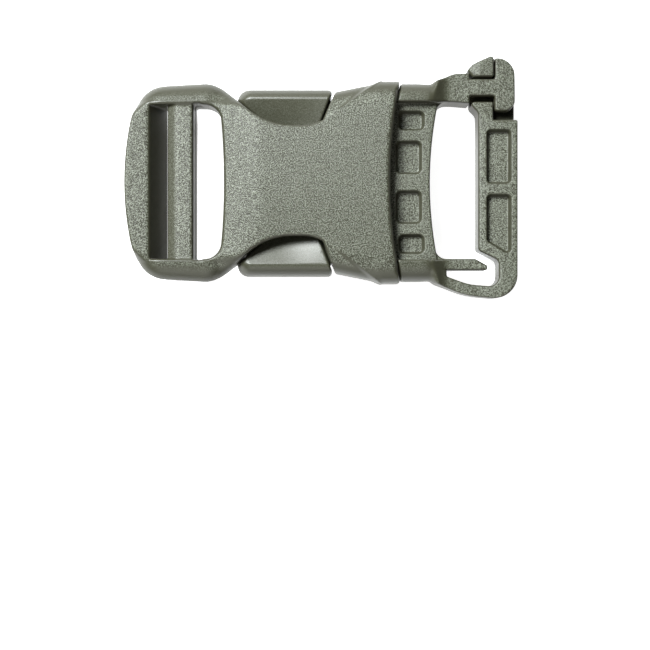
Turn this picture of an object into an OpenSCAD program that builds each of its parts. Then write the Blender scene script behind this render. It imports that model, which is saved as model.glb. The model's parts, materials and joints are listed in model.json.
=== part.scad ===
// Side release buckle for flat webbing: a ladder lock socket and a plug with an openable web bar.
// Millimetres. The outlines are laid out with x = 0 at the middle of the mouth, y = 0 on the
// centre line and z = 0 on the surface it lies on, then centred on the whole buckle.

/* [Webbing] */
// Width of the webbing
web_w = 25; // [20:1:30]
// Spare room beside the webbing in the two ladder slots, each side
slot_play = 1.25; // [0.5:0.05:1.5]
// Spare room beside the webbing behind the web bar, each side
gate_play = 1.4; // [0.8:0.1:2]

/* [Socket] */
// Length from the closed end to the middle of the mouth
socket_l = 29.25; // [28:0.05:34]
// Thickness over the two flat faces
socket_h = 11; // [10.5:0.1:12.5]
// Wall of each flat face
plate_t = 1.6; // [1.2:0.1:1.8]
// Solid stretch at the closed end
end_wall = 3.4; // [2.8:0.1:4]
// Width across the waist, between the two cut-outs
waist_w = 19.3; // [17:0.1:21]
// Wall outside the spring arms at the mouth
mouth_wall = 2.9; // [2.4:0.1:3.2]
// Radius of the hollow edge of the mouth
mouth_r = 88; // [60:1:140]
// Length of the cheeks beside the mouth, along their outside
cheek_l = 9.7; // [8:0.1:11]
// How far the front of a cheek leans back towards the waist
cheek_lean = 2.2; // [1.5:0.1:3]
// Rounding along the outside of the cheeks
cheek_r = 1.7; // [1:0.1:2.8]
// Angle at which the corners outside the creases fall away
crease_fall = 13; // [6:1:18]

/* [Ladder lock] */
// Width of each side rail
rail_w = 3.5; // [3:0.05:5]
// Thickness of the ladder
ladder_t = 5.4; // [4.6:0.1:6]
// Step from the face of the socket down to the face of the ladder
ladder_drop = 1.1; // [0.6:0.1:1.6]
// Width of the slot next to the socket
web_slot_w = 5.15; // [4.4:0.05:7]
// Width of the bar between the slots
middle_bar_w = 5; // [4.4:0.1:6]
// How far the middle bar lies below the faces of the rails
middle_bar_drop = 0.3; // [0.1:0.1:0.6]
// Width of the slanted slot behind the end bar
lock_slot_w = 3.4; // [3:0.1:5]
// Lean of the slanted slot over the thickness of the ladder
lock_slant = 2.65; // [1.5:0.05:2.9]
// Width of the face of the end bar
end_bar_w = 4.1; // [3.4:0.1:5.5]
// Radius of the bowed outside of the end bar
end_bar_r = 52; // [50:1:120]

/* [Plug] */
// Thickness of the crossbar
cross_t = 5.4; // [4.6:0.1:6]
// Reach of the crossbar outside the mouth, on the centre line
cross_reach = 7.1; // [6.6:0.1:8]
// Reach of the crossbar into the mouth
cross_in = 2.5; // [2:0.1:4]
// Radius of the hollow outer edge of the crossbar
cross_r = 69; // [60:1:120]
// Depth of the pockets in the crossbar and the web bar
pocket_depth = 1.1; // [0.5:0.1:1.5]
// Thickness of the shoulders beside the crossbar
shoulder_t = 8.8; // [8:0.1:9.4]
// Width of each shoulder
shoulder_w = 3.2; // [2.8:0.1:3.6]
// Thickness of the frame and the web bar
frame_t = 4.8; // [4.2:0.1:5.2]
// Width of each spring arm
spring_w = 2.6; // [2:0.1:3]
// Thickness of the release pads
pad_t = 7.4; // [6.6:0.1:7.4]
// Length of the release pads along their outside
pad_l = 16.7; // [15.5:0.1:16.9]
// How far the pads lie inside the width of the rails
pad_inset = 0.8; // [0.5:0.05:1.5]
// Width of the guide tongue between the spring arms
guide_w = 4.8; // [3:0.1:6]
// Length of the guide tongue inside the mouth
guide_l = 20; // [12:0.5:23]

/* [Web bar] */
// Clear length of the opening between crossbar and web bar
gate_l = 8.6; // [7.5:0.1:12]
// Width of the web bar
web_bar_w = 7; // [6.6:0.1:8]
// How far the opening sits off the centre line
gate_shift = 0.4; // [0:0.1:0.8]
// Wall of the hook that carries the web bar
hook_t = 2.05; // [1.8:0.05:2.4]
// Reach of the hook below the opening
hook_drop = 7; // [6.6:0.1:7.6]
// Width of the finger that keeps the webbing on the bar
finger_t = 2; // [1.6:0.1:2.1]

/* [Catch] */
// Width of the head that holds the web bar
head_w = 3.6; // [3.2:0.1:3.8]
// Width of the stem under the head
stem_t = 3; // [2.6:0.1:3.2]
// Thickness of the tongue of the web bar below the head
tongue_t = 2.3; // [1.8:0.1:2.5]
// Height of the catch tab above the face of the frame
tab_rise = 0.7; // [0.3:0.1:1.2]

/* [Fits] */
// Gap between the plug and the mouth
mouth_gap = 0.3; // [0.15:0.05:0.4]
// Gap between a release pad and the front of its cheek
latch_gap = 0.3; // [0.15:0.05:0.4]
// Gap between the parts of the catch
catch_gap = 0.2; // [0.15:0.05:0.3]

/* [Hidden] */

socket_colour = [0.47, 0.48, 0.42];
plug_colour = [0.44, 0.45, 0.39];
past = 1;

slot_half = web_w / 2 + slot_play;
half_w = slot_half + rail_w;
mid_z = socket_h / 2;
waist_half = waist_w / 2;
cavity_half = half_w + 0.15 - mouth_wall;

// Stations along the socket, from the closed end to the end bar
closed_x = -socket_l;
middle_bar_x = closed_x - web_slot_w;
lock_x = middle_bar_x - middle_bar_w;
end_bar_x = lock_x - lock_slot_w;
left_x = end_bar_x - end_bar_w;

ladder_z1 = socket_h - ladder_drop;
ladder_z0 = ladder_z1 - ladder_t;

// Stations and levels of the plug
shoulder_half = half_w + 0.05;
shoulder_in = shoulder_half - shoulder_w;
frame_z0 = mid_z - frame_t / 2;
frame_z1 = mid_z + frame_t / 2;
web_bar_x = cross_reach + gate_l;
right_x = web_bar_x + web_bar_w;
gate_top = gate_shift + web_w / 2 + gate_play;
gate_bottom = gate_shift - web_w / 2 - gate_play;
hook_y = gate_bottom - hook_drop;
arm_top = gate_top + 5.1;
arm_end_x = web_bar_x - 1.5;
head_x1 = right_x - 0.5;
head_x0 = head_x1 - head_w;
head_y1 = arm_top + 2.55;
head_y0 = gate_top - 1.6;
stem_y0 = gate_top + 1.1;
stem_y1 = stem_y0 + stem_t;
tongue_y1 = head_y1 + 0.6;
neck_y0 = head_y0 - 1.55;
neck_top = gate_top - catch_gap;
pad_out = half_w - pad_inset;
pad_in = waist_half - 1.6;
pad_x0 = -cheek_l - latch_gap - pad_l;
spring_out = cavity_half - mouth_gap;

// The whole buckle is centred on these
centre_x = (left_x + right_x) / 2;
centre_y = (hook_y + tongue_y1) / 2;

function unit(v) = v / norm(v);
function xy(p) = [p[0], p[1]];
function flip(path) = [for (i = [len(path) - 1:-1:0]) [path[i][0], -path[i][1], path[i][2]]];

// Half the angle between the two sides that meet at corner i of a closed path
function half_angle(path, i) =
    let (
        n = len(path),
        u = unit(xy(path[(i + n - 1) % n]) - xy(path[i])),
        v = unit(xy(path[(i + 1) % n]) - xy(path[i]))
    )
    acos(max(-1, min(1, u * v))) / 2;

// Length that the rounding of corner i takes from each of its sides
function reach(path, i) = path[i][2] / tan(half_angle(path, i));

// Share of its wanted radius that corner i can have, so that it and corner j fit their common side
function share(path, i, j) =
    min(1, 0.98 * norm(xy(path[i]) - xy(path[j])) / max(0.001, reach(path, i) + reach(path, j)));

// Arc that rounds corner i
function corner(path, i) =
    let (
        n = len(path),
        before = (i + n - 1) % n,
        after = (i + 1) % n,
        b = xy(path[i]),
        u = unit(xy(path[before]) - b),
        v = unit(xy(path[after]) - b),
        half = half_angle(path, i),
        fit = path[i][2] * min(share(path, i, before), share(path, i, after)),
        middle = b + unit(u + v) * fit / sin(half),
        from = b + u * fit / tan(half) - middle,
        to = b + v * fit / tan(half) - middle,
        start = atan2(from[1], from[0]),
        raw = atan2(to[1], to[0]) - start,
        turn = raw > 180 ? raw - 360 : raw < -180 ? raw + 360 : raw,
        steps = max(2, ceil(abs(turn) / 11))
    )
    [for (k = [0:steps]) middle + fit * [cos(start + turn * k / steps), sin(start + turn * k / steps)]];

// A closed path whose points are [x, y, radius of the corner]
function rounded(path) =
    [for (i = [0:len(path) - 1]) each path[i][2] > 0 ? corner(path, i) : [xy(path[i])]];

// Points of a shallow arc across the buckle, x = x0 + y^2 / 2r, from y0 to y1
function bow(x0, r, y0, y1, steps) =
    [for (i = [0:steps]) let (y = y0 + (y1 - y0) * i / steps) [x0 + y * y / (2 * r), y, 0]];

function mouth_x(y) = y * y / (2 * mouth_r);

// Front of a cheek: a straight line that leans back towards the waist
cheek_low = waist_half + 0.95;
cheek_high = half_w - 0.95;
function front_x(y) = -cheek_l - cheek_lean * (cheek_high - y) / (cheek_high - cheek_low);

// A path extruded upwards, across the buckle or along it
module slab(path, z0, z1) translate([0, 0, z0]) linear_extrude(z1 - z0) polygon(rounded(path));
module across(path, y0, y1)
    translate([0, y1, 0]) rotate([90, 0, 0]) linear_extrude(y1 - y0) polygon(rounded(path));
module along(path, x0, x1)
    translate([x0, 0, 0]) rotate([90, 0, 90]) linear_extrude(x1 - x0) polygon(rounded(path));

module both_sides() {
    children();
    mirror([0, 1, 0]) children();
}

module centred() translate([-centre_x, -centre_y, 0]) children();

// Upper half of the socket outline, from the end bar to the mouth
corner_y = half_w - 1.2;
diag_x = closed_x + 7.5;
side_path = [
    [left_x + corner_y * corner_y / (2 * end_bar_r), corner_y, 7],
    [lock_x - 0.2, half_w - 0.3, 15],
    [closed_x - 1.7, half_w + 0.1, 3.2],
    [diag_x, waist_half, 12],
    [front_x(cheek_low) - 1.8, waist_half, 6],
    [front_x(cheek_low), cheek_low, 0.3],
    [front_x(cheek_high), cheek_high, 1.2],
    [mouth_x(half_w) - 3, half_w + 0.2, 6],
    [mouth_x(half_w), half_w, 0.5]
];

module socket_outline(z0, z1) {
    bow_half = corner_y - 6.5;
    slab(
        concat(
            bow(left_x, end_bar_r, -bow_half, bow_half, 8),
            side_path,
            bow(0, mouth_r, half_w - 2, 2 - half_w, 12),
            flip(side_path)
        ),
        z0, z1
    );
}

// Side view of the socket: the ladder is thinner than the socket and nearer its upper face
module socket_side_view() {
    across(
        [
            [left_x, ladder_z0, 1.6],
            [left_x, ladder_z1, 2.2],
            [closed_x - 1.2, ladder_z1, 12],
            [closed_x + 6, socket_h, 12],
            [past + mouth_x(half_w), socket_h, 0],
            [past + mouth_x(half_w), 0, 0],
            [closed_x + 4.5, 0, 4],
            [closed_x - 0.4, ladder_z0, 3]
        ],
        -half_w - past, half_w + past
    );
}

module socket_rounding() {
    cheek_half = half_w + 0.2;
    along(
        [
            [-cheek_half, 0, cheek_r],
            [cheek_half, 0, cheek_r],
            [cheek_half, socket_h, cheek_r],
            [-cheek_half, socket_h, cheek_r]
        ],
        closed_x - 0.6, past + mouth_x(half_w)
    );
    rail_half = half_w + 0.1;
    rail_r = ladder_t / 2 - 0.05;
    along(
        [
            [-rail_half, ladder_z0, rail_r],
            [rail_half, ladder_z0, rail_r],
            [rail_half, ladder_z1, rail_r],
            [-rail_half, ladder_z1, rail_r]
        ],
        left_x - past, closed_x + 0.6
    );
}

// Slanted slot behind the end bar, with the chamfered middle bar beside it
module lock_slot() {
    lean = lock_slant / ladder_t;
    chamfer_z = ladder_z1 - 1.4;
    across(
        [
            [end_bar_x - lean * past, ladder_z1 + past, 0],
            [end_bar_x + lock_slant + lean * past, ladder_z0 - past, 0],
            [lock_x + lean * (chamfer_z - ladder_z0 + past), ladder_z0 - past, 0],
            [lock_x, chamfer_z, 0.3],
            [lock_x + 1.9, ladder_z1 - middle_bar_drop, 0.3],
            [middle_bar_x + past, ladder_z1 - middle_bar_drop, 0],
            [middle_bar_x + past, ladder_z1 + past, 0]
        ],
        -slot_half, slot_half
    );
}

module web_slot() {
    bowed = 0.75;
    steps = 6;
    slab(
        concat(
            [[middle_bar_x, -slot_half, 0.3], [closed_x - bowed, -slot_half, 3]],
            [
                for (i = [-steps + 2:steps - 2])
                    let (t = i / steps) [closed_x - bowed * t * t, slot_half * t, 0]
            ],
            [[closed_x - bowed, slot_half, 3], [middle_bar_x, slot_half, 0.3]]
        ),
        ladder_z0 - past - socket_h, ladder_z1 + past
    );
}

module crease_facet() {
    crease_x = front_x(cheek_low) + 1.2;
    crease_y = cheek_low + 0.2;
    swing = atan2(half_w - 0.4 - crease_y, mouth_x(half_w) - 4.5 - crease_x);
    translate([crease_x, crease_y, socket_h]) rotate([0, 0, swing]) rotate([-crease_fall, 0, 0])
        translate([-past, 0, 0]) cube([3 * cheek_l, cheek_l, socket_h / 3]);
}

module female_body() {
    color(socket_colour) centred() difference() {
        intersection() {
            socket_outline(0, socket_h);
            socket_side_view();
            socket_rounding();
        }
        lock_slot();
        web_slot();
        translate([closed_x + end_wall, -cavity_half, plate_t])
            cube([socket_l - end_wall + mouth_x(half_w) + past, 2 * cavity_half, socket_h - 2 * plate_t]);
        both_sides() {
            crease_facet();
            translate([0, 0, socket_h]) mirror([0, 0, 1]) crease_facet();
        }
    }
}

// Pockets in the face of the crossbar: middle and length across the buckle, shift along it
cross_pockets = [[-0.775, 3.5, 0.7], [-0.305, 5.9, 0], [0.305, 5.9, 0], [0.775, 3.5, 0.7]];

module pocket(x0, x1, y0, y1, face_z) {
    slab([[x0, y0, 0.7], [x1, y0, 0.7], [x1, y1, 0.7], [x0, y1, 0.7]], face_z - pocket_depth, face_z + past);
}

// The end inside the mouth is narrower than the socket's cavity
module crossbar() {
    face_z = mid_z + cross_t / 2;
    wide_half = shoulder_in + 0.5;
    step_x = mouth_x(wide_half) + mouth_gap;
    difference() {
        slab(
            concat(
                [
                    [step_x, wide_half, 0],
                    [step_x, spring_out, 0],
                    [-cross_in, spring_out, 0],
                    [-cross_in, -spring_out, 0],
                    [step_x, -spring_out, 0],
                    [step_x, -wide_half, 0]
                ],
                bow(cross_reach, cross_r, -wide_half, wide_half, 14)
            ),
            mid_z - cross_t / 2, face_z
        );
        for (p = cross_pockets)
            translate([p[2], p[0] * shoulder_in, 0])
                pocket(cross_reach - 6.1, cross_reach - 1.45, -p[1] / 2, p[1] / 2, face_z);
    }
}

module shoulder() {
    slope_x0 = cross_reach - 1.2;
    slope_x1 = cross_reach + 2.1;
    top = mid_z + shoulder_t / 2;
    intersection() {
        slab(
            concat(
                bow(mouth_gap, mouth_r, shoulder_in, shoulder_half, 3),
                [[slope_x1, shoulder_half, 0], [slope_x1, shoulder_in, 0]]
            ),
            0, socket_h
        );
        across(
            [
                [0, mid_z - shoulder_t / 2, 0],
                [0, top, 0],
                [slope_x0, top, 3],
                [slope_x1, frame_z1 - 0.1, 0],
                [slope_x1, frame_z0 + 0.1, 0],
                [slope_x0, mid_z - shoulder_t / 2, 3]
            ],
            0, half_w + past
        );
        along(
            [
                [shoulder_in, mid_z - shoulder_t / 2, 0.8],
                [shoulder_half, mid_z - shoulder_t / 2, cheek_r],
                [shoulder_half, top, cheek_r],
                [shoulder_in, top, 0.8]
            ],
            0, slope_x1
        );
    }
}

// Spring arm with its release pad; the pad's end follows the front of the cheek
module spring_arm() {
    slab(
        [
            [front_x(spring_out) - past, spring_out - spring_w, 0],
            [cross_in, spring_out - spring_w, 0],
            [cross_in, spring_out, 0],
            [front_x(spring_out) - past, spring_out, 0]
        ],
        mid_z - cross_t / 2 + 0.4, mid_z + cross_t / 2 - 0.4
    );
    pad_z0 = mid_z - pad_t / 2;
    pad_z1 = mid_z + pad_t / 2;
    ridge = pad_out - 1.55;
    flank = (half_w + 0.1 - waist_half) / (diag_x - closed_x + 1.7);
    flank_y = waist_half + (diag_x - pad_x0) * flank + 0.5;
    inner_x = diag_x + 0.6 + (waist_half - pad_in) / flank;
    intersection() {
        slab(
            [
                [pad_x0, pad_out, 2.6],
                [pad_x0, flank_y, 0.3],
                [inner_x, pad_in, 2],
                [front_x(pad_in) - latch_gap, pad_in, 0.5],
                [front_x(pad_out) - latch_gap, pad_out, 0.8]
            ],
            pad_z0, pad_z1
        );
        along(
            [
                [pad_in - past, pad_z0 + 1, 0],
                [ridge, pad_z0, 0.5],
                [pad_out, pad_z0 + 2.1, 1.5],
                [pad_out, pad_z1 - 2.1, 1.5],
                [ridge, pad_z1, 0.5],
                [pad_in - past, pad_z1 - 1, 0]
            ],
            pad_x0 - past, 0
        );
    }
}

module guide_tongue() {
    translate([-guide_l, -guide_w / 2, mid_z - cross_t / 2 + 0.6])
        cube([guide_l, guide_w, cross_t - 1.2]);
}

// Arm above the opening, cranked outwards, with the stem and head of the catch
module top_arm() {
    root_x = cross_reach - 1;
    slab(
        [
            [root_x, shoulder_in, 0],
            [cross_reach + gate_l / 2, gate_top - 0.3, 0],
            [arm_end_x, gate_top, 0.2],
            [arm_end_x, arm_top, 0.45],
            [cross_reach + 4.4, arm_top, 4.5],
            [cross_reach + 0.4, shoulder_half, 4.5],
            [root_x, shoulder_half, 0]
        ],
        frame_z0, frame_z1
    );
    slab(
        [
            [arm_end_x - past, stem_y0, 0],
            [head_x0, stem_y0, 0.3],
            [head_x0, head_y0, 0.4],
            [head_x1, head_y0, 1.1],
            [head_x1, head_y1, 3.3],
            [head_x0, head_y1, 0.4],
            [head_x0, stem_y1, 0.3],
            [arm_end_x - past, stem_y1, 0]
        ],
        frame_z0 + tongue_t + catch_gap, frame_z1
    );
}

// Opening that the webbing loops through
module gate() {
    slab(
        concat(
            bow(cross_reach, cross_r, gate_bottom + 2.6, gate_top - 2.6, 10),
            [
                [cross_reach + gate_top * gate_top / (2 * cross_r), gate_top, 1.3],
                [arm_end_x, gate_top, 0],
                [arm_end_x, gate_bottom, 0],
                [cross_reach + gate_bottom * gate_bottom / (2 * cross_r), gate_bottom, 1.3]
            ]
        ),
        0, socket_h
    );
}

// Web bar, its hook and the tongue with the catch tab at its free end
module web_bar() {
    hook_in = hook_y + hook_t;
    bend_x = web_bar_x - 2.3;
    root_x = cross_reach - 1;
    inner_x = right_x - 3.35;
    pocket_x0 = web_bar_x + 1.5;
    pocket_x1 = right_x - 1.2;
    difference() {
        slab(
            [
                [root_x, -shoulder_half, 0],
                [cross_reach + 0.3, -shoulder_half, 4],
                [bend_x, hook_y + 0.42, 15],
                [right_x - 4.6, hook_y, 8],
                [right_x, hook_y, 4.2],
                [right_x, neck_y0, 0.3],
                [head_x0 - catch_gap, neck_y0, 0],
                [head_x0 - catch_gap, neck_top, 0.2],
                [arm_end_x + 0.1, neck_top, 0.7],
                [arm_end_x + 0.1, neck_top - 0.5, 0.4],
                [web_bar_x, neck_y0 + 1.3, 1.5],
                [web_bar_x, gate_bottom + 1.5, 0.6],
                [inner_x, gate_bottom - 0.3, 1.3],
                [inner_x, hook_in, 1.7],
                [bend_x + 0.6, hook_in + 0.4, 10],
                [cross_reach + 2.65, -shoulder_half + 1, 0.3],
                [cross_reach + 2.65, gate_bottom - finger_t, 0],
                [root_x, gate_bottom, 0]
            ],
            frame_z0, frame_z1
        );
        pocket(pocket_x0, pocket_x1, gate_shift - 0.55, neck_y0 - 1.75, frame_z1);
        slab(
            [
                [pocket_x0, gate_shift - 2.5, 0.7],
                [pocket_x0, gate_bottom + 3.1, 0.7],
                [pocket_x1 - 0.9, gate_bottom + 1.1, 0.7],
                [pocket_x1, gate_bottom + 1.1, 0.7],
                [pocket_x1, gate_shift - 2.5, 0.7]
            ],
            frame_z1 - pocket_depth, frame_z1 + past
        );
    }
    tongue();
    catch_tab();
}

module tongue() {
    tongue_x1 = right_x - 0.25;
    slab(
        [
            [web_bar_x + 0.5, neck_y0 + 0.6, 0],
            [head_x0, neck_y0 - 0.5, 0],
            [tongue_x1, neck_y0 - 0.5, 0],
            [tongue_x1, tongue_y1, 3.8],
            [head_x0 - catch_gap, tongue_y1, 0],
            [arm_end_x + catch_gap, stem_y1 + catch_gap, 0],
            [arm_end_x + catch_gap, neck_top - 0.5, 0.4]
        ],
        frame_z0, frame_z0 + tongue_t
    );
}

// Ramped tab that stands beside the stem and blocks the head
module catch_tab() {
    tab_y0 = stem_y1 + catch_gap;
    tab_x1 = head_x0 - catch_gap;
    top = frame_z1 + tab_rise;
    intersection() {
        slab(
            [
                [arm_end_x + catch_gap + 0.2, tab_y0, 0.3],
                [tab_x1, tab_y0, 0.3],
                [tab_x1, tongue_y1, 0.4],
                [arm_end_x + 0.45, arm_top + 1.5, 0.9],
                [arm_end_x - 0.5, arm_top + 0.5, 0.3]
            ],
            frame_z0, top
        );
        across(
            [
                [arm_end_x - 1, frame_z0, 0],
                [tab_x1, frame_z0, 0],
                [tab_x1, top - 0.5, 0],
                [tab_x1 - 1.6, top, 0.4],
                [arm_end_x + 1.4, top - 0.2, 0.6],
                [arm_end_x - 1, frame_z1 - 0.9, 0]
            ],
            stem_y1, tongue_y1 + past
        );
    }
}

// Finger that reaches towards the hook and keeps the webbing on the bar
module finger() {
    tip_x = web_bar_x + 1.6;
    slab(
        [
            [cross_reach, gate_bottom, 0],
            [tip_x - 2.1, gate_bottom, 0.2],
            [tip_x, gate_bottom - 1.2, 0.1],
            [tip_x, gate_bottom - finger_t, 0.1],
            [cross_reach + 2.2, gate_bottom - finger_t, 0],
            [cross_reach, -shoulder_half, 0]
        ],
        frame_z0, frame_z1
    );
}

module male_plug() {
    color(plug_colour) centred() {
        crossbar();
        both_sides() spring_arm();
        guide_tongue();
        difference() {
            union() {
                both_sides() shoulder();
                top_arm();
                web_bar();
                finger();
                for (y = [gate_bottom - 0.5, gate_top - 1.5])
                    translate([cross_reach - 1, y, frame_z0]) cube([3.7, 2, frame_t]);
            }
            gate();
        }
    }
}

female_body();
male_plug();
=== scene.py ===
import json
import math

import bpy
import numpy as np
import openvdb
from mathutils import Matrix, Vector

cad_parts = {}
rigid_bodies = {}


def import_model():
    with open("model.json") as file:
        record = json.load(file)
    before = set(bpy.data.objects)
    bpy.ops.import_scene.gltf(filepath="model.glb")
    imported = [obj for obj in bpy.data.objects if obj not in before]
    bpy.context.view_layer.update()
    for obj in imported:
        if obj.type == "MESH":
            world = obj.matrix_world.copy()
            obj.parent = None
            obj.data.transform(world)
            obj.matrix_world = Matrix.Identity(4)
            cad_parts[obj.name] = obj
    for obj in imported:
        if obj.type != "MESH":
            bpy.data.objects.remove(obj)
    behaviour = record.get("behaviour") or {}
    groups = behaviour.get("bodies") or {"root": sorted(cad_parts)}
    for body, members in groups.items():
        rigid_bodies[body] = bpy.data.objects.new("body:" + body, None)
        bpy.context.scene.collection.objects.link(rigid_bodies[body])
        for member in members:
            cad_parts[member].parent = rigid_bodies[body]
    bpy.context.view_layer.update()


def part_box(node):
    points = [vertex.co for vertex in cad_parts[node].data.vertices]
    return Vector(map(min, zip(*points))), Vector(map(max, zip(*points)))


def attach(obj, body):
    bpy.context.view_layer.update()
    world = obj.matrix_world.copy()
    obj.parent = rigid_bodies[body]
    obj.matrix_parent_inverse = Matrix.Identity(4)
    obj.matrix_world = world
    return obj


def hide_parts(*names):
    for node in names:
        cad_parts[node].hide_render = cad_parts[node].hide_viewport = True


for old in list(bpy.data.objects):
    bpy.data.objects.remove(old)
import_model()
print("frame loaded")

mm = 0.001
webWidth = 25.0
slotHalf = webWidth / 2 + 1.25


# Distances. Every one works on any arrays that broadcast together.


def halfAngle(corners, i):
    # Half the angle between the two sides at corner i, the arc cosine of the product of their
    # unit vectors over two, and those two vectors
    a, b, c = corners[i - 1, :2], corners[i, :2], corners[(i + 1) % len(corners), :2]
    u, v = (a - b) / np.linalg.norm(a - b), (c - b) / np.linalg.norm(c - b)
    return math.acos(max(-1.0, min(1.0, float(u @ v)))) / 2, u, v


def roundedPath(corners, step=6.0):
    # Closed outline from rows of x, y, radius. Each corner becomes an arc whose tangent length is
    # radius / tan(half angle), shrunk where two neighbours would need more than their common side.
    # step is the turn from one point of an arc to the next, in degrees.
    corners = np.array(corners, float)
    count = len(corners)
    angles = [halfAngle(corners, i) for i in range(count)]
    reach = [corners[i, 2] / math.tan(max(angles[i][0], 0.01)) for i in range(count)]
    path = []
    for i in range(count):
        half, u, v = angles[i]
        radius = corners[i, 2]
        if radius <= 0:
            path.append(corners[i, :2])
            continue
        for j in (i - 1, (i + 1) % count):
            side = np.linalg.norm(corners[i, :2] - corners[j, :2])
            radius = min(radius, corners[i, 2] * 0.98 * side / max(reach[i] + reach[j], 1e-6))
        bisector = (u + v) / np.linalg.norm(u + v)
        middle = corners[i, :2] + bisector * radius / math.sin(half)
        start = corners[i, :2] + u * radius / math.tan(half) - middle
        end = corners[i, :2] + v * radius / math.tan(half) - middle
        a0 = math.atan2(start[1], start[0])
        turn = (math.atan2(end[1], end[0]) - a0 + math.pi) % (2 * math.pi) - math.pi
        a = a0 + turn * np.linspace(0, 1, max(3, int(abs(math.degrees(turn)) / step) + 2))
        path.extend(middle + radius * np.stack([np.cos(a), np.sin(a)], 1))
    return np.array(path)


def outline(path, u, v):
    # Signed distance to a closed path: the nearest side, negative where a ray crosses an odd
    # number of sides
    nearest = np.float32(1e9)
    inside = False
    for (ax, ay), (bx, by) in zip(path, np.roll(path, -1, 0)):
        ex, ey = bx - ax, by - ay
        length = ex * ex + ey * ey
        if length < 1e-12:
            continue
        t = np.clip(((u - ax) * ex + (v - ay) * ey) / length, 0, 1)
        nearest = np.minimum(nearest, (u - ax - ex * t) ** 2 + (v - ay - ey * t) ** 2)
        if ey != 0:
            inside = inside ^ (((ay > v) != (by > v)) & (u < ex * (v - ay) / ey + ax))
    return np.where(inside, -1, 1).astype(np.float32) * np.sqrt(nearest)


def flip(corners):
    # The same corners on the other side of the centre line, from last to first
    return [(x, -y, r) for x, y, r in corners[::-1]]


def bow(x0, radius, y0, y1, steps):
    # Shallow arc across the buckle, x = x0 + y^2 / 2r
    return [(x0 + y * y / (2 * radius), y, 0) for y in np.linspace(y0, y1, steps + 1)]


def between(v, low, high):
    # Distance to the span from low to high: the larger of low - v and v - high
    return np.maximum(low - v, v - high)


def meet(a, b, r):
    # Common part of two solids with the edge between them rounded to r:
    # min(max(a, b), -r) + length of what a + r and b + r reach above zero
    return np.minimum(np.maximum(a, b), -r) + np.hypot(np.maximum(a + r, 0), np.maximum(b + r, 0))


def join(a, b, r):
    # Both solids with a fillet of r between them, the mirror image of meet
    return -meet(-a, -b, r)


def carve(a, b, r):
    # The first solid less the second: what it has in common with all that is outside the second
    return meet(a, -b, r)


def rectangle(u, v, u0, u1, v0, v1, r):
    # Distance to a rectangle with corners rounded to r: that to one smaller by r, less r
    du = np.abs(u - (u0 + u1) / 2) - (u1 - u0) / 2 + r
    dv = np.abs(v - (v0 + v1) / 2) - (v1 - v0) / 2 + r
    return np.hypot(np.maximum(du, 0), np.maximum(dv, 0)) + np.minimum(np.maximum(du, dv), 0) - r


def ease(v, start, end):
    # 0 before start, 1 after end, 3t^2 - 2t^3 between them
    t = np.clip((v - start) / (end - start), 0, 1)
    return t * t * (3 - 2 * t)


# Meshing

grid = {
    "pitch": 0.12,  # millimetres
    "simplify": 0.02,  # how freely flat cells are merged
    "outside": 5.0,  # value beyond the box
    "pulls": 3,
    "furthest": 0.5,  # longest pull, in cells
    "grained": (0.79, 0.96),  # upward part of the normal where grain starts and where it is full
    "tilted": (0.9, 0.99),  # the same for the tilt of the normals
}


def sample(volume, place):
    # Value of a grid between its points: the eight neighbours, each weighted by the opposite
    # corner's share of the cell
    base = np.clip(np.floor(place).astype(int), 0, np.array(volume.shape[:3]) - 2)
    part = place - base
    total = 0
    for corner in np.ndindex(2, 2, 2):
        weight = np.prod(np.where(corner, part, 1 - part), axis=1)
        value = volume[tuple((base + corner).T)]
        total = total + (weight[:, None] if value.ndim > 1 else weight) * value
    return total


def makeMoulding(name, field, low, high, finish, tilt, replaced):
    # The zero surface of a field over a box, pulled onto the field: each point moves against the
    # slope by value / slope squared. The slope is the normal too. finish gives how much of the
    # mould's grain each point has: faces that the mould closes on are grained, and walls that
    # slide out of it are smooth. tilt gives what upward normals lean along x and along y.
    pitch = grid["pitch"]
    axes = [np.arange(a - 2 * pitch, b + 2 * pitch, pitch, dtype=np.float32) for a, b in zip(low, high)]
    x, y, z = np.meshgrid(*axes, indexing="ij", sparse=True)
    values = np.zeros([len(a) for a in axes], np.float32) + field(x, y, z)
    values = values.astype(np.float32)
    volume = openvdb.FloatGrid(grid["outside"])
    volume.copyFromArray(values)
    points, triangles, quads = volume.convertToPolygons(0.0, grid["simplify"])
    slope = np.stack(np.gradient(values), -1)
    points = points.astype(float)
    for _ in range(grid["pulls"]):
        g = sample(slope, points)
        step = sample(values, points) / np.maximum((g * g).sum(1), 1e-3 * pitch * pitch)
        points -= np.clip(g * step[:, None], -grid["furthest"], grid["furthest"])
    normals = sample(slope, points)
    normals /= np.maximum(np.linalg.norm(normals, axis=1), 1e-9)[:, None]
    points = points * pitch + [a[0] for a in axes]
    # In a few places finish also paints shade, as the piece's own finish function says
    grain = ease(np.abs(normals[:, 2]), *grid["grained"]) * finish(*points.T)
    upward = ease(normals[:, 2], *grid["tilted"])
    for axis, lean in enumerate(tilt(points[:, 0], points[:, 1])):
        normals[:, axis] += lean * upward
    points = (points + [originX, originY, 0]) * mm
    faces = [f[::-1].tolist() for f in triangles] + [f[::-1].tolist() for f in quads]
    mesh = bpy.data.meshes.new(name)
    mesh.from_pydata(points.tolist(), [], faces)
    first = mesh.polygons[0]
    if Vector(normals[first.vertices[0]]).dot(first.normal) < 0:
        mesh.flip_normals()
    mesh.shade_smooth()
    mesh.normals_split_custom_set_from_vertices(normals.tolist())
    mesh.attributes.new("grain", "FLOAT", "POINT").data.foreach_set("value", grain.astype(np.float32))
    piece = bpy.data.objects.new(name, mesh)
    bpy.context.scene.collection.objects.link(piece)
    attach(piece, "root")
    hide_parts(replaced)
    print(name, len(points), "points", len(triangles) + 2 * len(quads), "triangles")
    return piece


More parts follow.
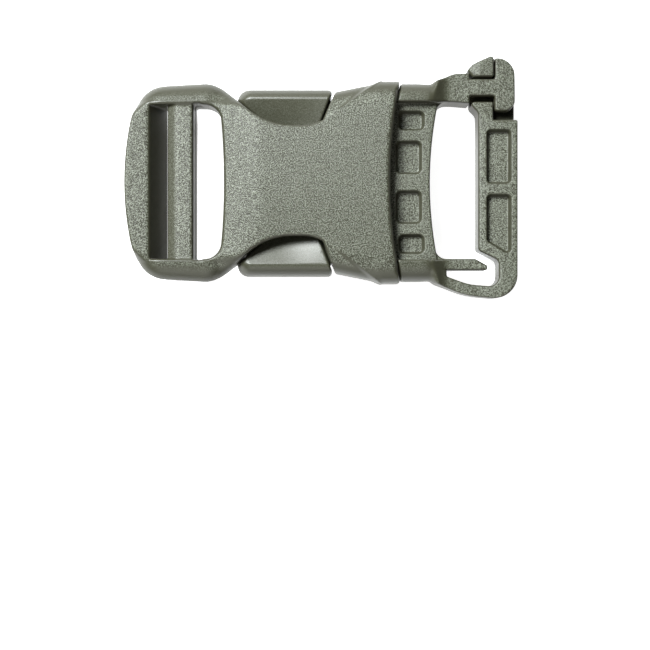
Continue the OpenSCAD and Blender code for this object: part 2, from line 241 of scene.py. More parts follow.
# Socket with the ladder lock

socket = {
    "length": 29.25,  # closed end to the middle of the mouth
    "height": 11.0,
    "plate": 1.6,  # over and under the hollow
    "endWall": 3.4,
    "waistHalf": 9.65,
    "waistRun": 7.5,  # closed end to where the waist is reached
    "half": slotHalf + 3.5,
    "railSwell": 0.68,  # how far the rails and the cheeks stand outside half
    "cheekSwell": 0.7,
    "crownSwell": 0.65,
    "endSwell": 0.55,
    "mouthWall": 2.9,
    "mouthFlare": 0.15,
    "mouthRadius": 88.0,
    "cheekLength": 9.7,
    "cheekLean": 2.2,
    "cheekCorner": 0.95,
    "creaseStep": 0.22,  # how much lower the face is outside the crease
    "creaseWidth": 0.6,
    "creaseFall": 5.0,  # degrees
    "beadHeight": 0.07,
    "beadWidth": 0.2,
    "ladder": 5.4,
    "ladderDrop": 1.1,
    "topRamp": (-1.2, 6.0),  # start and end of the rise from the ladder, from the closed end
    "underRamp": (-0.4, 4.5),
    "webSlot": 5.15,
    "slotInset": 0.2,  # at each end of a slot
    "slotBow": 0.75,  # how far the slot's side at the closed end is bowed
    "slotMiddle": -0.1,
    "middleBar": 5.0,
    "barDrop": 0.42,  # how far the two bars' faces are below the ladder's
    "chamferDrop": 1.4,
    "chamferRun": 1.8,
    "lockSlot": 3.4,
    "lockSlant": 3.22,  # how far the slot leans over the ladder's thickness
    "endBar": 4.1,
    "endBarRadius": 52.0,
    "railRound": 3.8,
    "cheekRound": 3.5,
    "flatten": 0.76,  # height over width of the rails' and cheeks' rounding
    "mouthRound": 1.0,
    "mouthThin": 0.6,  # how much of that rounding is lost at the cheeks
    "barRound": 0.9,
    "edgeRound": 0.6,
    "sharpRound": 0.7,  # along the slots
    "hollowRound": 0.6,
    "lipRound": 0.25,
    "crown": 0.011,  # tilt of the face for a millimetre from the centre line
    "endBarTilt": 0.05,
    "middleBarTilt": 0.06,
    "railSmooth": 0.7,  # share of the grain that is gone there, and so on below
    "cheekSmooth": 0.9,
    "chamferSmooth": 0.45,
    "slotLipSmooth": 0.85,
}
half = socket["half"]
closedX = -socket["length"]
middleBarX = closedX - socket["webSlot"]
lockX = middleBarX - socket["middleBar"]
endBarX = lockX - socket["lockSlot"]
leftX = endBarX - socket["endBar"]
ladderTop = socket["height"] - socket["ladderDrop"]
ladderLow = ladderTop - socket["ladder"]
midZ = socket["height"] / 2
cavityHalf = half + socket["mouthFlare"] - socket["mouthWall"]
cheekLow = socket["waistHalf"] + socket["cheekCorner"]
cheekHigh = half - socket["cheekCorner"]
diagX = closedX + socket["waistRun"]

# The frame says where the plan's origin is
lowCorner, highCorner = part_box("female_body")
originX = lowCorner.x / mm - leftX
originY = (lowCorner.y + highCorner.y) / 2 / mm


def mouthX(y):
    # The mouth is an arc across the buckle, x = y^2 / 2r
    return y * y / (2 * socket["mouthRadius"])


def frontX(y):
    # Start of the cheek, a straight line from cheekLow to cheekHigh
    return -socket["cheekLength"] - socket["cheekLean"] * (cheekHigh - y) / (cheekHigh - cheekLow)


def socketPlan():
    # Rail, waist and cheek seen from above, and the same on the other side, closed by the end
    # bar's arc
    waist = socket["waistHalf"]
    cornerY = half - 0.3
    side = [
        (leftX + cornerY**2 / (2 * socket["endBarRadius"]), cornerY, 5.5),
        (lockX - 0.2, half + 0.2, 15),
        (closedX - 1.7, half + socket["railSwell"], 5),
        (diagX, waist, 12),
        (frontX(cheekLow) - 1.8, waist, 6),
        (frontX(cheekLow), cheekLow, 0.3),
        (frontX(cheekHigh), cheekHigh, 1.2),
        (mouthX(half) - 3.6, half + socket["cheekSwell"], 4),
        (mouthX(half) + 4, half + socket["endSwell"], 0),
    ]
    ends = cornerY - 6.5
    return roundedPath(bow(leftX, socket["endBarRadius"], -ends, ends, 14) + side + flip(side))


def socketSide():
    # The ladder and the socket seen from the side, past the mouth and the end bar
    top = socket["height"]
    topStart, topEnd = socket["topRamp"]
    underStart, underEnd = socket["underRamp"]
    return roundedPath(
        [
            (leftX - 2, ladderLow, 0),
            (leftX - 2, ladderTop, 0),
            (closedX + topStart, ladderTop, 12),
            (closedX + topEnd, top, 12),
            (6, top, 0),
            (6, 0, 0),
            (closedX + underEnd, 0, 4),
            (closedX + underStart, ladderLow, 3),
        ]
    )


def creased(body, x, s, z):
    # Creases across the cheeks: outside them everything is a step lower, with a thin raised bead
    # at the step, and the face then falls away. All of it starts from nothing at the crease's
    # inner end. away and along are a point's distances from the crease and along it.
    creaseX, creaseY = frontX(cheekLow) + 1.2, cheekLow + 0.2
    runX, runY = mouthX(half) - 3.9 - creaseX, half + 0.2 - creaseY
    run = math.hypot(runX, runY)
    away = ((s - creaseY) * runX - (x - creaseX) * runY) / run
    along = ((x - creaseX) * runX + (s - creaseY) * runY) / run
    body = body + socket["creaseStep"] * ease(along, -3, run * 0.3) * ease(away, 0, socket["creaseWidth"])
    bead = np.exp(-((away / socket["beadWidth"]) ** 2))
    body = body - socket["beadHeight"] * ease(along, -1, run * 0.4) * bead
    fall = math.tan(math.radians(socket["creaseFall"])) * ease(along, -2, 2)
    # The falling face is also what keeps the bead from standing above the socket's
    return np.maximum(body, np.abs(z - midZ) - midZ + fall * np.maximum(away, 0))


def lockPath():
    # Slanted slot, the chamfered middle bar and the sunk face of the end bar, seen from the side
    lean = socket["lockSlant"] / socket["ladder"]
    face = ladderTop - socket["barDrop"]
    chamferZ = ladderTop - socket["chamferDrop"]
    over = socket["height"] + 2
    return roundedPath(
        [
            (leftX - 3, face, 0),
            (endBarX - lean * (face - ladderTop), face, socket["barRound"]),
            (endBarX + socket["lockSlant"] + lean + 0.1, ladderLow - 1, 0),
            (lockX + lean * (chamferZ - ladderLow + 1), ladderLow - 1, 0),
            (lockX, chamferZ, 0.35),
            (lockX + socket["chamferRun"], face, 0.8),
            (middleBarX + 0.02, face, socket["barRound"]),
            (middleBarX + 0.02, face - 2, 0),
            (middleBarX + 1, face - 2, 0),
            (middleBarX + 1, over, 0),
            (leftX - 3, over, 0),
        ]
    )


def socketField(x, y, z):
    # Plan and side view together, rounded, less the slots and the hollow
    s = np.abs(y)
    # The rails are rounded to an ellipse, wider than it is high, that fades out along the closed
    # end and the waist. Everything else has a small round edge.
    rails = ease(s, slotHalf - 3, slotHalf + 0.8) * (1 - ease(x, closedX - 1.5, closedX + 5))
    roundness = socket["edgeRound"] + (socket["railRound"] - socket["edgeRound"]) * rails
    shrink = 1 - (1 - socket["flatten"]) * rails
    faces = outline(socketSide(), x, z)
    body = meet(outline(socketPlan(), x, y) * shrink, faces, roundness)
    # The cheeks' outer edges are rounded in the same way
    cheekStart = frontX(cheekHigh)
    fullX = mouthX(half) - 3.4
    widening = np.clip((x - cheekStart) / (fullX - cheekStart), 0, 1)
    outerY = cheekHigh + (half + socket["crownSwell"] - cheekHigh) * widening
    crown = meet((s - outerY) * socket["flatten"], faces, socket["cheekRound"])
    body = np.where(x > cheekStart - 2, np.maximum(body, crown), body)
    body = creased(body, x, s, z)
    rim = socket["mouthRound"] - socket["mouthThin"] * ease(s, half - 1.6, half - 0.3)
    body = meet(body, x - mouthX(y), rim)
    # Slot beside the socket, with an arc for its long side at the closed end
    edge = slotHalf - socket["slotInset"]
    bend = socket["slotBow"]
    webSlot = roundedPath(
        [(middleBarX, -edge, 0.3), (closedX - bend, -edge, 3)]
        + [(closedX - bend * t * t, edge * t, 0) for t in np.linspace(-0.68, 0.68, 13)]
        + [(closedX - bend, edge, 3), (middleBarX, edge, 0.3)]
    )
    across = y - socket["slotMiddle"]
    body = carve(body, outline(webSlot, x, across), socket["sharpRound"])
    lock = meet(outline(lockPath(), x, z), np.abs(across) - edge, socket["lipRound"])
    body = carve(body, lock, socket["sharpRound"])
    # Hollow for the plug
    hollow = meet(between(x, closedX + socket["endWall"], 9), s - cavityHalf, socket["hollowRound"])
    hollow = meet(hollow, between(z, socket["plate"], socket["height"] - socket["plate"]), 0.4)
    return carve(body, hollow, socket["lipRound"])


def socketFinish(x, y, z):
    # The rails' and cheeks' roundings, the middle bar's chamfer and the slots' lips have less
    # grain: each one is a product of eased spans, and takes its share from 1
    s = np.abs(y)
    rails = ease(s, slotHalf + 0.6, slotHalf + 1.4) * (1 - ease(x, closedX - 4, closedX - 0.5))
    cheeks = ease(s, half - 2.4, half - 1.0) * ease(x, -7, -5)
    chamfer = ease(x, lockX - 0.6, lockX) * (1 - ease(x, lockX + 1.4, lockX + 2))
    lips = ease(s, slotHalf - 0.35, slotHalf - 0.1) * (1 - ease(s, slotHalf + 0.3, slotHalf + 0.6))
    lips = lips * (x > endBarX) * (1 - ease(x, closedX - 2, closedX - 1))
    grain = 1 - socket["railSmooth"] * rails - socket["cheekSmooth"] * cheeks
    grain = grain - socket["chamferSmooth"] * chamfer * (s < slotHalf)
    return grain - socket["slotLipSmooth"] * lips


def socketTilt(x, y):
    # The end bar's face leans to the right, the middle bar's to the left, and the socket's face is
    # crowned from side to side
    middle = ease(x, endBarX, lockX)
    past = ease(x, middleBarX, middleBarX + 1)
    bars = socket["endBarTilt"] * (1 - middle) - socket["middleBarTilt"] * middle * (1 - past)
    return bars * (np.abs(y) < slotHalf), socket["crown"] * y * ease(x, closedX + 1, closedX + 7)


socketPiece = makeMoulding(
    "socketMoulding",
    socketField,
    (leftX, -half - 0.8, 0),
    (mouthX(half), half + 0.8, socket["height"]),
    socketFinish,
    socketTilt,
    "female_body",
)


# Plug with the openable web bar

plug = {
    "cross": 5.4,
    "crossReach": 7.1,
    "crossIn": 2.5,  # how far the crossbar reaches into the mouth
    "crossRadius": 69.0,
    # Middle, length and shift to the right of each pocket
    "pockets": ((-10.93, 3.4, 0.48), (-4.4, 5.8, 0), (4.4, 5.8, 0), (10.93, 3.4, 0.48)),
    "pocketBack": 6.06,
    "pocketWidth": 4.56,
    "pocketCorner": 0.95,
    "pocketDepth": 1.3,
    "pocketLean": 0.2,  # of the walls, for each millimetre of depth
    "pocketRound": 0.25,
    "pocketFloor": 0.3,
    "shoulder": 8.8,
    "shoulderWidth": 3.75,
    "shoulderSwell": 0.36,  # how far the shoulders stand outside the socket's half width
    "shoulderShift": 0.1,
    "shoulderRound": 3.2,
    "fallStart": -0.7,  # start and end of the fall to the flat frame, from crossReach
    "fallEnd": 3.5,
    "rimRound": 0.45,
    "frame": 4.8,
    "springWidth": 4.2,
    "pad": 7.4,
    "padLength": 17.1,
    "padClear": 0.3,
    "padInset": 0.65,
    "padDepth": 1.6,
    "padCorner": 2.8,
    "padRidge": 2.1,
    "padDip": 0.32,  # fall for each millimetre inwards from the ridge
    "padLift": 0.2,  # how much of that is lost at the cheek
    "padCurve": 0.42,  # fall for the square of the distance outside the ridge
    "padGap": 0.15,
    "guideWidth": 4.8,
    "guideLength": 20.0,
    "gateLength": 8.6,
    "gateSlack": 1.4,
    "webBar": 7.0,
    "gateShift": 0.4,  # y of the opening's middle
    "armWidth": 5.1,
    "armShort": 1.5,
    "armWiden": 0.25,
    "hook": 2.05,
    "hookDrop": 7.0,
    "finger": 2.0,
    "head": 3.6,
    "headInset": 0.5,
    "headOver": 1.6,
    "headRise": 2.7,
    "stem": 3.0,
    "stemOver": 1.1,
    "neckDrop": 1.55,
    "neckRise": 0.3,
    "tongue": 2.3,
    "tongueOver": 0.45,
    "tabRise": 0.7,
    "mouthGap": 0.12,
    "catchGap": 0.26,
    "edgeRound": 0.38,
    "padTilt": 0.13,
    "barTilt": (-0.12, 0.15),  # at the web bar's inner edge, and what is added up to the outer one
    "padSmooth": 0.8,  # share of the grain that is gone, here and below
    "shoulderSmooth": 0.45,
    # On the lapped tongue the grain taken off paints the shade in the gaps beside the stem
    "lappedPaintedShade": 0.9,
    # At the foot of the fall the grain taken off is partly the smooth finish there and partly painted shade
    "valleySmoothAndShade": 0.6,
}
crossReach = plug["crossReach"]
rootX = crossReach - 1
crossRadius = plug["crossRadius"]
frameLow, frameTop = midZ - plug["frame"] / 2, midZ + plug["frame"] / 2
shoulderHalf = half + plug["shoulderSwell"]
shoulderIn = shoulderHalf - plug["shoulderWidth"]
webBarX = crossReach + plug["gateLength"]
rightX = webBarX + plug["webBar"]
gateTop = plug["gateShift"] + webWidth / 2 + plug["gateSlack"]
gateBottom = plug["gateShift"] - webWidth / 2 - plug["gateSlack"]
hookY = gateBottom - plug["hookDrop"]
armTop = gateTop + plug["armWidth"]
armEndX = webBarX - plug["armShort"]
headX1 = rightX - plug["headInset"]
headX0 = headX1 - plug["head"]
headY0, headY1 = gateTop - plug["headOver"], armTop + plug["headRise"]
stemY0 = gateTop + plug["stemOver"]
stemY1 = stemY0 + plug["stem"]
catchGap = plug["catchGap"]
tongueY1 = headY1 + plug["tongueOver"]
neckY0 = headY0 - plug["neckDrop"]
neckTop = gateTop - catchGap + plug["neckRise"]
padX0 = -socket["cheekLength"] - plug["padClear"] - plug["padLength"]
padOut = half - plug["padInset"]
padIn = socket["waistHalf"] - plug["padDepth"]
springOut = cavityHalf - plug["mouthGap"]


def pocketCut(z, plan, face):
    # A pocket with leaning walls and rounded floor edges, sunk from a face
    plan = plan + plug["pocketLean"] * (face - z)
    return meet(plan, face - plug["pocketDepth"] - z, plug["pocketFloor"])


def crossbar(x, y, z):
    # Bar between the shoulders, ending in an arc, with a row of pockets in its face
    wide = shoulderIn + 0.5
    stepX = mouthX(wide) + plug["mouthGap"]
    plan = roundedPath(
        [
            (stepX, wide, 0),
            (stepX, springOut, 0),
            (-plug["crossIn"], springOut, 0),
            (-plug["crossIn"], -springOut, 0),
            (stepX, -springOut, 0),
            (stepX, -wide, 0),
        ]
        + bow(crossReach, crossRadius, -wide, wide, 24)
    )
    face = midZ + plug["cross"] / 2
    bar = meet(outline(plan, x, y), between(z, midZ - plug["cross"] / 2, face), plug["edgeRound"])
    for middle, length, shift in plug["pockets"]:
        x0 = crossReach - plug["pocketBack"] + shift
        x1 = x0 + plug["pocketWidth"]
        y0, y1 = middle - length / 2, middle + length / 2
        plan = rectangle(x, y, x0, x1, y0, y1, plug["pocketCorner"])
        bar = carve(bar, pocketCut(z, plan, face), plug["pocketRound"])
    return bar


def framePlan(x, y):
    # Arm, hook, web bar and finger seen from above, less the opening
    arm = [
        (-3, shoulderIn - 1, 0),
        (rootX, shoulderIn - 0.2, 0),
        (crossReach + plug["gateLength"] / 2, gateTop - 0.3, 0),
        (armEndX, gateTop - plug["armWiden"], 0.2),
        (armEndX, armTop, 0.45),
        (crossReach + 4.4, armTop, 4.5),
        (crossReach + 0.4, shoulderHalf, 4.5),
        (-3, shoulderHalf, 0),
    ]
    hookIn = hookY + plug["hook"]
    bendX = webBarX - 2.3
    innerX = rightX - 3.35
    bar = [
        (-3, -shoulderHalf, 0),
        (crossReach + 0.3, -shoulderHalf, 4),
        (bendX, hookY + 0.42, 15),
        (rightX - 4.6, hookY, 8),
        (rightX, hookY, 4.2),
        (rightX, neckY0, 0.3),
        (headX0 - catchGap, neckY0, 0.15),
        (headX0 - catchGap, neckTop, 0.3),
        (armEndX + 0.35, neckTop, 0.4),
        (armEndX + 0.35, neckTop - 0.8, 0.5),
        (webBarX, neckY0 + 1.3, 1.5),
        (webBarX, gateBottom + 1.5, 0.6),
        (innerX, gateBottom - 0.3, 1.3),
        (innerX, hookIn, 1.7),
        (bendX + 0.6, hookIn + 0.4, 10),
        (crossReach + 3, -shoulderHalf + 1, 0.4),
        (crossReach + 3, gateBottom - plug["finger"], 0),
        (rootX, gateBottom, 0),
        (-3, gateBottom, 0),
    ]
    tipX = webBarX + 1.6
    finger = [
        (crossReach, gateBottom, 0),
        (tipX - 2.1, gateBottom, 0.2),
        (tipX, gateBottom - 1.2, 0.15),
        (tipX, gateBottom - plug["finger"], 0.15),
        (crossReach + 2.2, gateBottom - plug["finger"], 0),
        (crossReach, -shoulderHalf, 0),
    ]
    gate = bow(crossReach, crossRadius, gateBottom + 3, gateTop - 3, 16) + [
        (crossReach + gateTop**2 / (2 * crossRadius), gateTop, 1.9),
        (crossReach + 4, gateTop, 4),
        (armEndX, gateTop - plug["armWiden"], 0),
        (armEndX, gateBottom, 0),
        (crossReach + gateBottom**2 / (2 * crossRadius), gateBottom, 1.9),
    ]
    plan = np.minimum(outline(roundedPath(arm), x, y), outline(roundedPath(bar), x, y))
    plan = np.minimum(plan, outline(roundedPath(finger), x, y))
    # Blocks that the opening's two rounded corners are cut from
    for y0 in (gateBottom - 0.5, gateTop - 2.1):
        plan = np.minimum(plan, rectangle(x, y, rootX, rootX + 4.5, y0, y0 + 2.6, 0.1))
    return np.maximum(plan, -outline(roundedPath(gate), x, y))


def crankedFrame(x, y, z):
    # The flat frame, and the shoulders that fall to it in a soft S. Over the fall their height,
    # their sides and their rounding become the flat frame's.
    plan = framePlan(x, y)
    flat = meet(plan, between(z, frameLow, frameTop), plug["edgeRound"])
    s = np.abs(y - plug["shoulderShift"])
    fallEnd = crossReach + plug["fallEnd"]
    fallen = ease(x, crossReach + plug["fallStart"], fallEnd)
    # It ends a little below the frame's face, and the sides end outside the whole frame
    fall = (plug["shoulder"] - plug["frame"]) / 2 + 0.02
    height = plug["shoulder"] / 2 - fall * fallen
    face = (np.abs(z - midZ) - height) * 0.93  # nearer to a distance on the slope
    side = s - shoulderHalf - 6 * ease(x, crossReach, fallEnd)
    roundness = plug["shoulderRound"] + (plug["edgeRound"] - plug["shoulderRound"]) * fallen
    body = meet(side * socket["flatten"], face, roundness)
    # Before the arm's root the plan is loose, so that it doesn't cut the shoulders' rounding
    loose = 0.5 * (1 - ease(x, rootX - 2.5, rootX + 1))
    body = meet(body, plan - loose, plug["edgeRound"])
    body = meet(body, np.maximum(plug["mouthGap"] + mouthX(s) - x, shoulderIn - s), plug["rimRound"])
    # The flat frame stays inside the shoulders' rounding where it starts
    inset = 0.6 * (1 - ease(x, crossReach, crossReach + 2))
    flat = np.maximum(flat, np.maximum(rootX - x, side + inset))
    return np.minimum(flat, body)


def barPockets(x, y, z):
    # The web bar's two pockets, a rectangle and one with a slanted end
    x0, x1 = webBarX + 1.5, rightX - 1.2
    gateShift = plug["gateShift"]
    slanted = [
        (x0, gateShift - 2.5, 0.8),
        (x0, gateBottom + 3.1, 0.8),
        (x1 - 0.9, gateBottom + 1.1, 0.8),
        (x1, gateBottom + 1.1, 0.7),
        (x1, gateShift - 2.5, 0.8),
    ]
    straight = rectangle(x, y, x0, x1, gateShift - 0.55, neckY0 - 1.75, 0.8)
    plan = np.minimum(straight, outline(roundedPath(slanted), x, y))
    return pocketCut(z, plan, frameTop)


def catch(x, y, z):
    # Stem and head over the lapped tongue, with the ramped tab beside them
    head = [
        (armEndX - 1, stemY0, 0),
        (headX0, stemY0, 0.35),
        (headX0, headY0, 0.4),
        (headX1, headY0, 1.9),
        (headX1, headY1, 3.3),
        (headX0, headY1, 0.4),
        (headX0, stemY1, 0.3),
        (armEndX - 1, stemY1, 0),
    ]
    tongueX1 = rightX - 0.25
    tongue = [
        (webBarX + 0.5, neckY0 + 0.6, 0),
        (headX0, neckY0 - 0.5, 0),
        (tongueX1, neckY0 - 0.5, 0),
        (tongueX1, tongueY1, 3.8),
        (headX0 - catchGap, tongueY1, 0),
        (armEndX + catchGap, stemY1 + catchGap, 0),
        (armEndX + catchGap, neckTop - 0.5, 0.4),
    ]
    lap = frameLow + plug["tongue"]
    solid = meet(outline(roundedPath(head), x, y), between(z, lap + catchGap, frameTop), plug["edgeRound"])
    flat = meet(outline(roundedPath(tongue), x, y), between(z, frameLow, lap), 0.25)
    tabX1 = headX0 - catchGap
    tabPlan = [
        (armEndX + catchGap + 0.2, stemY1 + catchGap, 0.35),
        (tabX1, stemY1 + catchGap, 0.35),
        (tabX1, tongueY1, 0.5),
        (armEndX + 0.45, armTop + 1.5, 0.9),
        (armEndX - 0.5, armTop + 0.5, 0.3),
    ]
    tabTop = frameTop + plug["tabRise"]
    tabSide = [
        (armEndX - 1, frameLow, 0),
        (tabX1 + 1, frameLow, 0),
        (tabX1 + 1, tabTop - 0.1, 0),
        (armEndX + 1.7, tabTop, 0.8),
        (armEndX - 1, frameTop - 0.1, 0),
    ]
    tab = meet(outline(roundedPath(tabPlan), x, y), outline(roundedPath(tabSide), x, z), 0.4)
    return np.minimum(np.minimum(solid, flat), tab)


def springs(x, y, z):
    # Spring arm and release pad, the same on both sides. The pad's face dips away from its ridge
    # and lifts again towards the cheek, and it curves down outside the ridge: height = half the
    # pad - dip * distance inwards - curve * distance outwards squared
    s = np.abs(y)
    beamX0 = frontX(padIn) - 1
    beamHalf = plug["cross"] / 2 - 0.4
    beam = meet(between(x, beamX0, 0.3), between(s, springOut - plug["springWidth"], springOut), 0.2)
    beam = meet(beam, between(z, midZ - beamHalf, midZ + beamHalf), 0.3)
    # The pad's inner side runs along the waist's slant
    flank = (half + 0.6 - socket["waistHalf"]) / (diagX - closedX + 1.7)
    flankY = socket["waistHalf"] + (diagX - padX0) * flank + plug["padGap"]
    innerX = diagX + 1.5 * plug["padGap"] + (socket["waistHalf"] - padIn) / flank
    corner = plug["padCorner"]
    plan = roundedPath(
        [
            (padX0, padOut, corner),
            (padX0, flankY, 0.2),
            (innerX, padIn, 2),
            (frontX(padIn) - 0.3, padIn, 0.5),
            (frontX(padOut) - 0.3, padOut, 0.8),
        ]
    )
    ridge = padOut - plug["padRidge"]
    inward = np.maximum(ridge - s, 0)
    crown = roundedPath([(padX0, padOut, corner), (padX0, -5, 0), (5, -5, 0), (5, padOut, 0)])
    outward = np.maximum(plug["padRidge"] + outline(crown, x, s), 0)
    lift = ease(x, padX0 + 7, padX0 + plug["padLength"] + 1)
    dip = plug["padDip"] - plug["padLift"] * lift
    height = plug["pad"] / 2 - dip * inward - plug["padCurve"] * outward**2
    face = (np.abs(z - midZ) - height) / (1 + 0.5 * outward)  # nearer to a distance where it is steep
    body = meet(outline(plan, x, s), face, 0.4)
    return join(beam, body, 0.5)


def plugField(x, y, z):
    # All the parts of the plug together, with the guide tongue inside the socket
    body = np.minimum(crankedFrame(x, y, z), crossbar(x, y, z))
    body = carve(body, barPockets(x, y, z), plug["pocketRound"])
    body = np.minimum(body, catch(x, y, z))
    body = np.minimum(body, springs(x, y, z))
    guide = meet(between(x, -plug["guideLength"], 0), np.abs(y) - plug["guideWidth"] / 2, 0.5)
    guideHalf = plug["cross"] / 2 - 0.6
    return np.minimum(body, meet(guide, np.abs(z - midZ) - guideHalf, 0.3))


def plugFinish(x, y, z):
    # The pads, the shoulders, the foot of their fall and the lapped tongue have less grain, and so the
    # smooth plastic's darker colour. On the lapped tongue, which shows only in the gaps beside the
    # stem, that darker colour is painted shade; at the foot of the fall it is partly the smooth finish
    # there and partly painted shade.
    pads = 1 - ease(x, -6, -5)
    shoulders = ease(z, frameTop + 0.9, frameTop + 1.5) * ease(x, 0, 1)
    lapped = (x > armEndX) * (np.abs(z - frameLow - plug["tongue"]) < 0.2)
    # Foot of the fall: partly its smooth finish, partly painted shade that widens the slope's own
    valley = ease(x, crossReach - 2, crossReach + 0.5) * (1 - ease(x, crossReach + 2, crossReach + 5.5))
    valley = valley * (np.abs(y) > shoulderIn - 0.3)
    grain = 1 - plug["padSmooth"] * pads - plug["shoulderSmooth"] * shoulders
    grain = grain - plug["lappedPaintedShade"] * lapped - plug["valleySmoothAndShade"] * valley
    return np.clip(grain, 0, 1)


def plugTilt(x, y):
    # The pads lean to the left, and the web bar's face is crowned along its width
    pads = 1 - ease(x, -6, -5)
    start, added = plug["barTilt"]
    bar = start + added * ease(x, webBarX, rightX)
    return bar * (x > webBarX) * (y < neckY0) - plug["padTilt"] * pads, 0


plugPiece = makeMoulding(
    "plugMoulding",
    plugField,
    (padX0, hookY, midZ - plug["shoulder"] / 2),
    (rightX, tongueY1, midZ + plug["shoulder"] / 2),
    plugFinish,
    plugTilt,
    "male_plug",
)


# Grained plastic, with painted glints and painted shade in its speckle


def makeGrainAndGlints():
    # Spark-eroded mould finish: fine bumps of about grain size. Its colour is painted light: each
    # bump is painted pale as a glint, and the pits between them are painted dark as shade
    group = bpy.data.node_groups.new("mouldGrainAndPaintedGlints", "ShaderNodeTree")
    face = group.interface
    for name, kind in (
        ("Cover", "NodeSocketFloat"),
        ("Grain Size", "NodeSocketFloat"),
        ("Depth", "NodeSocketFloat"),
        ("Contrast", "NodeSocketFloat"),
        ("Smooth", "NodeSocketColor"),
        ("Painted Pit Shade", "NodeSocketColor"),
        ("Painted Glint", "NodeSocketColor"),
        ("Roughness", "NodeSocketFloat"),
        ("Smooth Roughness", "NodeSocketFloat"),
    ):
        face.new_socket(name, in_out="INPUT", socket_type=kind)
    for name, kind in (
        ("Color", "NodeSocketColor"),
        ("Roughness", "NodeSocketFloat"),
        ("Normal", "NodeSocketVector"),
    ):
        face.new_socket(name, in_out="OUTPUT", socket_type=kind)
    nodes, links = group.nodes, group.links

    def node(kind, inputs=(), **settings):
        # A node with its settings, and its inputs linked or set to a value
        made = nodes.new(kind)
        for key, value in settings.items():
            setattr(made, key, value)
        for key, value in dict(inputs).items():
            if isinstance(value, bpy.types.NodeSocket):
                links.new(value, made.inputs[key])
            else:
                made.inputs[key].default_value = value
        return made

    def combined(operation, a, b, **settings):
        # Two values by one operation
        return node("ShaderNodeMath", {0: a, 1: b}, operation=operation, **settings).outputs[0]

    def mixed(factor, a, b):
        # Colour a at 0 and colour b at 1
        return node("ShaderNodeMix", {"Factor": factor, 6: a, 7: b}, data_type="RGBA").outputs[2]

    def noise(scale, detail):
        # Noise of so many waves a metre
        made = {"Vector": place, "Scale": scale, "Detail": detail, "Roughness": 0.5}
        return node("ShaderNodeTexNoise", made).outputs["Fac"]

    def spreadOver(value, low, high):
        # Noise gathers about a half: its 0.3 to 0.7 runs from low to high
        ends = {"Value": value, "From Min": 0.3, "From Max": 0.7, "To Min": low, "To Max": high}
        return node("ShaderNodeMapRange", ends).outputs[0]

    given = node("NodeGroupInput").outputs
    place = node("ShaderNodeTexCoord").outputs["Object"]
    # Waves a metre from the grain size in millimetres
    perMetre = combined("DIVIDE", 1 / mm, given["Grain Size"])
    bumps = spreadOver(noise(perMetre, 1.0), -0.5, 0.5)
    # The share of bumps painted pale as glints drifts slowly over the surface
    drift = spreadOver(noise(90.0, 2.0), 0.28, 0.36)
    amount = combined("MULTIPLY", bumps, given["Contrast"])
    amount = combined("ADD", amount, drift, use_clamp=True)
    # Where the grain covers: painted glints on the bumps, painted shade in the pits
    colour = mixed(given["Cover"], given["Smooth"], mixed(amount, given["Painted Pit Shade"], given["Painted Glint"]))
    rough = {"Factor": given["Cover"], 2: given["Smooth Roughness"], 3: given["Roughness"]}
    rough = node("ShaderNodeMix", rough, data_type="FLOAT").outputs[0]
    depth = combined("MULTIPLY", given["Depth"], given["Cover"])
    bump = node("ShaderNodeBump", {"Height": bumps, "Strength": depth, "Distance": 0.05 * mm})
    out = node("NodeGroupOutput")
    links.new(colour, out.inputs["Color"])
    links.new(rough, out.inputs["Roughness"])
    links.new(bump.outputs[0], out.inputs["Normal"])
    return group


grainAndGlintGroup = makeGrainAndGlints()


def plastic(name, look):
    # Plastic with the grain's colour, roughness and normal; the colour is painted glints on the
    # bumps and painted shade in the pits. The piece's attribute says where the grain is.
    material = bpy.data.materials.new(name)
    material.use_nodes = True
    nodes, links = material.node_tree.nodes, material.node_tree.links
    shader = nodes["Principled BSDF"]
    shader.inputs["Specular IOR Level"].default_value = look["specular"]
    shader.inputs["IOR"].default_value = look["refraction"]
    grain = nodes.new("ShaderNodeGroup")
    grain.node_tree = grainAndGlintGroup
    cover = nodes.new("ShaderNodeAttribute")
    cover.attribute_name = "grain"
    links.new(cover.outputs["Fac"], grain.inputs["Cover"])
    for key in ("Grain Size", "Depth", "Contrast", "Smooth", "Painted Pit Shade", "Painted Glint", "Roughness", "Smooth Roughness"):
        grain.inputs[key].default_value = look[key]
    for output, key in (("Color", "Base Color"), ("Roughness", "Roughness"), ("Normal", "Normal")):
        links.new(grain.outputs[output], shader.inputs[key])
    return material


# The speckle's pale colour on the bumps is painted glints, and its dark colour in the pits painted shade
grained = {
    "Grain Size": 0.19,
    "Depth": 0.8,
    "Contrast": 1.8,
    "Smooth": (0.05, 0.05, 0.032, 1),
    "Painted Pit Shade": (0.03, 0.029, 0.016, 1),
    "Painted Glint": (0.225, 0.24, 0.192, 1),
    "Roughness": 0.43,
    "Smooth Roughness": 0.35,
    "specular": 0.5,
    "refraction": 1.48,
}
# The plug's plastic is a copy with a fainter speckle and paler glints, which paints more light on the plug
# than the lamps give it
plugLitCopy = grained | {"Contrast": 1.1, "Painted Glint": (0.252, 0.27, 0.216, 1)}
socketPiece.data.materials.append(plastic("socketPlastic", grained))
plugPiece.data.materials.append(plastic("plugPlastic", plugLitCopy))
print("materials made")

# Floor and light

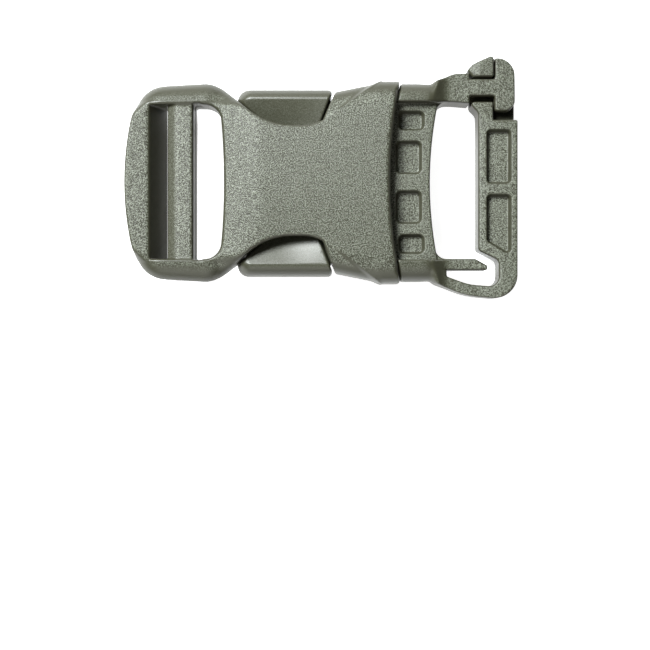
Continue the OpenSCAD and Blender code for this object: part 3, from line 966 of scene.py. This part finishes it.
studio = {
    "floor": (0.8, 0.8, 0.8, 1),
    "floorReach": 1.5,  # metres
    "floorRoughness": 0.9,
    "glow": 0.9,
    "sky": (0.97, 0.985, 1, 1),
    "world": 0.02,
}
reach = studio["floorReach"]
corners = [(-reach, -reach, 0), (reach, -reach, 0), (reach, reach, 0), (-reach, reach, 0)]
floorMesh = bpy.data.meshes.new("floor")
floorMesh.from_pydata(corners, [], [(0, 1, 2, 3)])
floor = bpy.data.objects.new("floor", floorMesh)
bpy.context.scene.collection.objects.link(floor)
paper = bpy.data.materials.new("paper")
paper.use_nodes = True
sheet = paper.node_tree.nodes["Principled BSDF"]
sheet.inputs["Base Color"].default_value = studio["floor"]
sheet.inputs["Roughness"].default_value = studio["floorRoughness"]
sheet.inputs["Emission Strength"].default_value = studio["glow"]
# The paper is overexposed for the camera and in reflections, but doesn't light the plastic
seen = paper.node_tree.nodes.new("ShaderNodeLightPath")
glowing = paper.node_tree.nodes.new("ShaderNodeMath")
glowing.operation = "MAXIMUM"
paper.node_tree.links.new(seen.outputs["Is Camera Ray"], glowing.inputs[0])
paper.node_tree.links.new(seen.outputs["Is Glossy Ray"], glowing.inputs[1])
paper.node_tree.links.new(glowing.outputs[0], sheet.inputs["Emission Color"])
floorMesh.materials.append(paper)

# The world is white for the camera, and nearly dark for everything else
world = bpy.data.worlds.new("studio")
world.use_nodes = True
air = world.node_tree.nodes
dim = air["Background"]
dim.inputs["Color"].default_value = studio["sky"]
dim.inputs["Strength"].default_value = studio["world"]
pale = air.new("ShaderNodeBackground")
pale.inputs["Color"].default_value = (1, 1, 1, 1)
pale.inputs["Strength"].default_value = 1
ray = air.new("ShaderNodeLightPath")
either = air.new("ShaderNodeMixShader")
joins = world.node_tree.links
joins.new(ray.outputs["Is Camera Ray"], either.inputs[0])
joins.new(dim.outputs[0], either.inputs[1])
joins.new(pale.outputs[0], either.inputs[2])
joins.new(either.outputs[0], air["World Output"].inputs["Surface"])
bpy.context.scene.world = world


def areaLight(name, place, size, power, colour):
    # A square light at a place in metres, turned to the middle of the frame
    light = bpy.data.lights.new(name, "AREA")
    light.shape = "SQUARE"
    light.size = size
    light.energy = power
    light.color = colour
    lamp = bpy.data.objects.new(name, light)
    lamp.location = place
    lamp.rotation_mode = "QUATERNION"
    lamp.rotation_quaternion = (Vector((0, 0, 0)) - Vector(place)).to_track_quat("-Z", "Y")
    bpy.context.scene.collection.objects.link(lamp)


areaLight("softBox", (-0.46, 0.4, 0.72), 0.36, 19.4, (0.96, 1, 1))
areaLight("frontCard", (-0.1, -0.55, 0.35), 0.5, 1.7, (1, 1, 0.97))
areaLight("backCard", (0, 0.6, 0.25), 0.4, 0.8, (1, 1, 0.97))
print("floor and lights made")

# Camera straight above, at the distance that the walls of the holes show

camera = {"x": 0.61 * mm, "y": -26.275 * mm, "height": 188 * mm, "focal": 56.33, "sensor": 36.0}
lens = bpy.data.cameras.new("camera")
lens.lens = camera["focal"]
lens.sensor_width = camera["sensor"]
lens.clip_start, lens.clip_end = 0.01, 10
viewer = bpy.data.objects.new("camera", lens)
viewer.location = (camera["x"], camera["y"], camera["height"])
bpy.context.scene.collection.objects.link(viewer)
bpy.context.scene.camera = viewer
bpy.context.scene.view_settings.view_transform = "Standard"
print("camera set")
